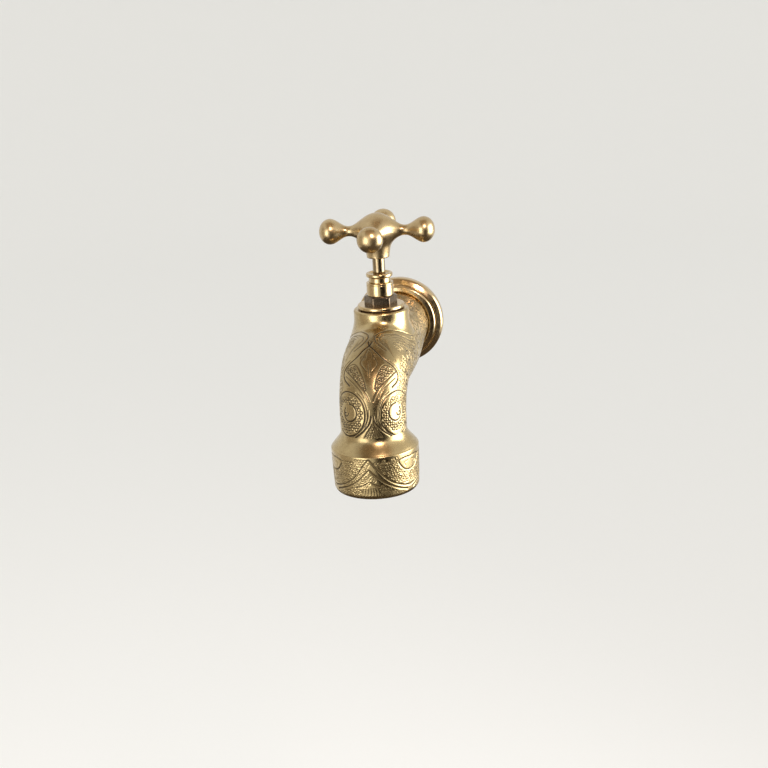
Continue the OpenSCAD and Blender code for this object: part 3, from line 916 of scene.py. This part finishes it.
def make_bonnet():
    """Hexagon with softened edges, on its screwed shank, and the stuffing box above it."""
    cols = 6 * 28
    low, high = ring_high, gland_low
    turn = np.arange(cols) * TAU / cols
    offset = (turn - HEX_TURN) % (TAU / 6) - TAU / 12
    corner_r = HEX_AF / math.sqrt(3)
    flats = soft_union(HEX_AF / 2 / np.cos(offset), np.full(cols, corner_r - 0.22), 0.2)
    z = np.concatenate([[low], low + np.linspace(0.02, 0.5, 5), np.linspace(low + 1, high - 1.6, 8),
                        np.linspace(high - 1.4, high - 0.02, 12)])

    def row(r, height):
        return np.stack([r * np.cos(turn), valve_y + r * np.sin(turn), np.full(cols, height)], -1)

    rows = []
    for height in z:
        cone = corner_r - 0.1 - max(0, height - (high - 0.9)) * 1.7
        foot = corner_r - max(0, low + 0.35 - height) * 0.8
        r = soft_union(flats, np.full_like(flats, min(cone, foot)), 0.1)
        rows.append(row(r, height))
    neck_r, guide_r, nut_r, chamfer_r = 6.52, 3.72, 5.08, 7.9
    neck_top = gland_high - 2.0
    bottom = span("bonnet")[0][2]
    neck = [(7.0, high), (neck_r, high + 0.02), (neck_r, neck_top - 0.4), (STUFFING_R, neck_top)]
    bore = [(STUFFING_R, low + 2), (guide_r, low + 2), (guide_r, low), (nut_r, low - 0.1), (nut_r, bottom)]
    shank = [(chamfer_r, bottom), (SHANK_R, bottom + 0.5), (SHANK_R, low - 0.1)]
    rows += [row(r, height) for r, height in neck + bore + shank]
    piece("hex_bonnet", *skin(np.array(rows), True), dark_brass, FIXED, "dark_brass", ["bonnet"], 50)


# -------------------- outlet

def make_outlet():
    """Screwed bush in the collar, with a step for the strainer."""
    inner, step_r, step_z = 11.0, 14.0, bush_high - 1.0
    corners = [(inner, bush_low, 0.5), (bush_r, bush_low, 0.4), (bush_r, bush_high, 0),
               (step_r, bush_high, 0), (step_r, step_z, 0), (inner, step_z, 0)]
    grid = lathe(outline(corners, 0.8), spout_y, 96)
    piece("outlet_sleeve", *skin(grid, True), polished, FIXED, "polished_brass", ["outlet_bush"])


# -------------------- handle

def handle_field(p):
    """Signed distance, near the surface, of the handle: hub, skirt and four arms melted together."""
    x, y, z = p[:, 0], p[:, 1] - valve_y, p[:, 2]
    rho = np.hypot(x, y)
    up = z - ARM_Z
    dome = np.sqrt((rho / HUB_R) ** 2 + (up / (dome_high - ARM_Z)) ** 2)
    top = (dome - 1) * HUB_R
    t = np.clip((z - skirt_low) / (ARM_Z - skirt_low), 0, 1)
    side = rho - (SKIRT_R + (HUB_R - SKIRT_R) * t ** 1.4)
    field = np.where(up > 0, top, side)
    for k in range(2):
        a = CROSS_TURN + k * math.pi / 2
        along = np.abs(x * math.cos(a) + y * math.sin(a))
        off = np.hypot(y * math.cos(a) - x * math.sin(a), up)
        grow = np.clip((along - ARM_WAIST) / (ARM_REACH - ARM_WAIST), 0, 1)
        root = np.clip((along - ARM_IN) / (ARM_WAIST - ARM_IN), 0, 1)
        radius = ARM_R + (BULB_R - ARM_R) * (0.5 - 0.5 * np.cos(math.pi * grow))
        radius = radius + ARM_ROOT * (0.5 + 0.5 * np.cos(math.pi * root))
        slope = (BULB_R - ARM_R) / (ARM_REACH - ARM_WAIST) * math.pi / 2 * np.sin(math.pi * grow)
        neck = (off - radius) / np.sqrt(1 + slope ** 2)
        past = np.maximum(along - ARM_REACH, 0)
        bulb = (np.sqrt((off / BULB_R) ** 2 + (past / BULB_TIP) ** 2) - 1) * BULB_TIP
        field = soft_union(field, np.where(along > ARM_REACH, bulb, neck), HANDLE_MELT)
    return np.maximum(field, skirt_low - z)


def holder(name, built):
    """Object of a finished bmesh, which is freed."""
    mesh = bpy.data.meshes.new(name)
    built.to_mesh(mesh)
    built.free()
    return linked(name, mesh)


def with_modifiers(made):
    """Mesh of an object with its modifiers applied."""
    return bpy.data.meshes.new_from_object(made.evaluated_get(bpy.context.evaluated_depsgraph_get()))


def rough_handle():
    """Points and faces of a voxel shell round balls, cones and rods where the handle is."""
    rough = bmesh.new()
    hub = Matrix.Translation((0, valve_y, ARM_Z))
    bmesh.ops.create_uvsphere(rough, u_segments=48, v_segments=24, radius=HUB_R + 1.6,
                              matrix=hub @ Matrix.Diagonal((1, 1, 1.05, 1)))
    tall = ARM_Z - skirt_low
    bmesh.ops.create_cone(rough, cap_ends=True, segments=48, radius1=SKIRT_R, radius2=HUB_R, depth=tall,
                          matrix=Matrix.Translation((0, valve_y, ARM_Z - tall / 2)))
    for k in range(4):
        spin = hub @ Matrix.Rotation(CROSS_TURN + k * math.pi / 2, 4, "Z")
        lay = spin @ Matrix.Rotation(math.pi / 2, 4, "Y")
        bmesh.ops.create_cone(rough, cap_ends=True, segments=32, radius1=ARM_R + 1.2, radius2=ARM_R + 1.2,
                              depth=ARM_REACH, matrix=lay @ Matrix.Translation((0, 0, ARM_REACH / 2)))
        bmesh.ops.create_uvsphere(rough, u_segments=32, v_segments=20, radius=BULB_R,
                                  matrix=spin @ Matrix.Translation((ARM_REACH - 0.8, 0, 0)))
    made = holder("handle_rough", rough)
    remesh = made.modifiers.new("shell", "REMESH")
    remesh.mode = "VOXEL"
    remesh.voxel_size = 0.5
    shell = with_modifiers(made)
    bpy.data.objects.remove(made)
    points = np.empty(len(shell.vertices) * 3)
    shell.vertices.foreach_get("co", points)
    return points.reshape(-1, 3), [list(face.vertices) for face in shell.polygons]


def make_handle():
    """The rough shell moved onto the field by Newton steps, with the set screw's hole cut."""
    points, faces = rough_handle()
    step = 0.02
    for _ in range(12):
        value = handle_field(points)
        slope = np.stack([handle_field(points + step * axis) - handle_field(points - step * axis)
                          for axis in np.eye(3)], -1) / (2 * step)
        size = np.maximum((slope ** 2).sum(1), 0.2)
        points = points - slope * np.clip(value / size, -0.6, 0.6)[:, None]
    made = piece("cross_grip", points, faces, handle_brass, TURNING, "engraved_brass", ["cross_handle"], 50)

    low, high = span("handle_screw")
    hole_r = ((high[2] - low[2]) / 2 + 0.04) * MM
    hole_len = 6
    place = Matrix.Translation((0, (low[1] + hole_len / 2) * MM, (low[2] + high[2]) / 2 * MM))
    drill = bmesh.new()
    bmesh.ops.create_cone(drill, cap_ends=True, segments=40, radius1=hole_r, radius2=hole_r,
                          depth=hole_len * MM, matrix=place @ Matrix.Rotation(math.pi / 2, 4, "X"))
    bit = holder("drill", drill)
    hole = made.modifiers.new("hole", "BOOLEAN")
    hole.operation = "DIFFERENCE"
    hole.object = bit
    cut = with_modifiers(made)
    made.modifiers.clear()
    made.data = cut
    bpy.data.objects.remove(bit)


# -------------------- assembly

make_pipe()
make_collar()
make_flange()
make_tail()
make_headwork()
make_outlet()
make_handle()

for node, material in (("flange_gasket", rubber), ("outlet_washer", rubber), ("outlet_screen", steel),
                       ("valve_seat", polished), ("stem_packing", packing), ("packing_washer", polished),
                       ("jumper", polished), ("tap_washer", rubber), ("washer_nut", polished),
                       ("handle_screw", steel)):
    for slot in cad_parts[node].material_slots:
        slot.material = material


# -------------------- camera, studio and lights

CAMERA_TURN = math.radians(11.36)
CAMERA_RISE = math.radians(16.99)
CAMERA_ROLL = math.radians(-3.33)
CAMERA_AWAY = 0.9723
CAMERA_AIM = Vector((-0.01345, 0.0, -0.04374))
CAMERA_LENS = 70.3


def direction(turn, rise):
    """Unit vector towards a place turn round from the front, towards +X, and rise above the horizon."""
    return Vector((math.sin(turn) * math.cos(rise), -math.cos(turn) * math.cos(rise), math.sin(rise)))


def make_camera():
    camera = linked("camera", bpy.data.cameras.new("camera"))
    back = direction(CAMERA_TURN, CAMERA_RISE)
    camera.data.lens = CAMERA_LENS
    camera.location = CAMERA_AIM + back * CAMERA_AWAY
    camera.rotation_mode = "QUATERNION"
    camera.rotation_quaternion = back.to_track_quat("Z", "Y") @ Quaternion((0, 0, 1), CAMERA_ROLL)
    bpy.context.scene.camera = camera


def make_stage():
    """Pale floor, well below the tap, that sweeps up far away on every side."""
    floor_z, flat, sweep, cols = -1.0, 5.0, 2.5, 96
    a = np.linspace(0, math.pi / 2, 25)
    r = np.concatenate([[0.02, 1.5, 3.0], flat + sweep * np.sin(a)])
    z = np.concatenate([[floor_z] * 3, floor_z + sweep - sweep * np.cos(a)])
    turn = np.arange(cols) * TAU / cols
    rows = np.stack([r[:, None] * np.cos(turn), r[:, None] * np.sin(turn), z[:, None] + 0 * turn], -1)
    paper, tree, shader, coord = new_material("paper")
    grain = noise(tree, coord, 3, 3)
    tree.links.new(blend(tree, grain, (0.90, 0.90, 0.885), (0.93, 0.93, 0.915)), shader.inputs["Base Color"])
    shader.inputs["Roughness"].default_value = 0.9
    faces = grid_faces(len(r), cols, False) + [list(range(cols))]
    linked("backdrop", smooth_mesh("backdrop", rows.reshape(-1, 3).tolist(), faces, paper))


def panel(name, turn, rise, away, width, height, power, colour, spread=180):
    """Soft rectangular light that faces the tap."""
    light = bpy.data.lights.new(name, "AREA")
    light.shape = "RECTANGLE"
    light.size, light.size_y = width, height
    light.energy = power
    light.color = colour
    light.spread = math.radians(spread)
    made = linked(name, light)
    way = direction(math.radians(turn), math.radians(rise))
    made.location = Vector((0, valve_y * MM, 0)) + way * away
    made.rotation_mode = "QUATERNION"
    made.rotation_quaternion = way.to_track_quat("Z", "Y")


def flag(name, turn, rise, away, width, height, shade):
    """Cloth that only shows in the metal's reflections."""
    way = direction(math.radians(turn), math.radians(rise))
    place = Vector((0, valve_y * MM, 0)) + way * away
    pose = Matrix.Translation(place) @ way.to_track_quat("Z", "Y").to_matrix().to_4x4()
    corners = [tuple(pose @ Vector((x * width / 2, y * height / 2, 0)))
               for x, y in ((-1, -1), (1, -1), (1, 1), (-1, 1))]
    cloth, tree, shader, coord = new_material(name + "_cloth")
    grain = noise(tree, coord, 4, 2)
    woven = tuple(0.9 * channel for channel in shade)
    tree.links.new(blend(tree, grain, shade, woven), shader.inputs["Base Color"])
    shader.inputs["Roughness"].default_value = 1
    shader.inputs["Specular IOR Level"].default_value = 0
    made = linked(name, smooth_mesh(name, corners, [[0, 1, 2, 3]], cloth))
    made.visible_camera = False
    made.visible_diffuse = False
    made.visible_shadow = False


def make_world():
    world = bpy.data.worlds.new("studio")
    bpy.context.scene.world = world
    world.use_nodes = True
    shader = world.node_tree.nodes["Background"]
    shader.inputs["Color"].default_value = (0.94, 0.93, 0.90, 1)
    shader.inputs["Strength"].default_value = 0.9


make_camera()
make_stage()
make_world()
panel("window_right", 95, 2, 1.3, 1.05, 1.15, 14, (1.0, 0.98, 0.96), 120)
panel("window_left", -25, 2, 1.5, 0.74, 1.2, 10, (1.0, 0.98, 0.96))
panel("lamp", 27, 39, 1.4, 0.26, 0.26, 9, (1.0, 0.78, 0.70))
flag("flag_front", 34, -6, 1.7, 1.5, 2.2, (0.020, 0.017, 0.014))
flag("flag_top", 14, 72, 1.9, 2.4, 2.2, (0.46, 0.35, 0.25))
flag("flag_floor", 0, -88, 0.8, 2.4, 2.4, (0.070, 0.056, 0.042))
flag("flag_left", -72, -4, 1.7, 1.3, 2.2, (0.44, 0.41, 0.37))
bpy.context.scene.view_settings.view_transform = "Standard"
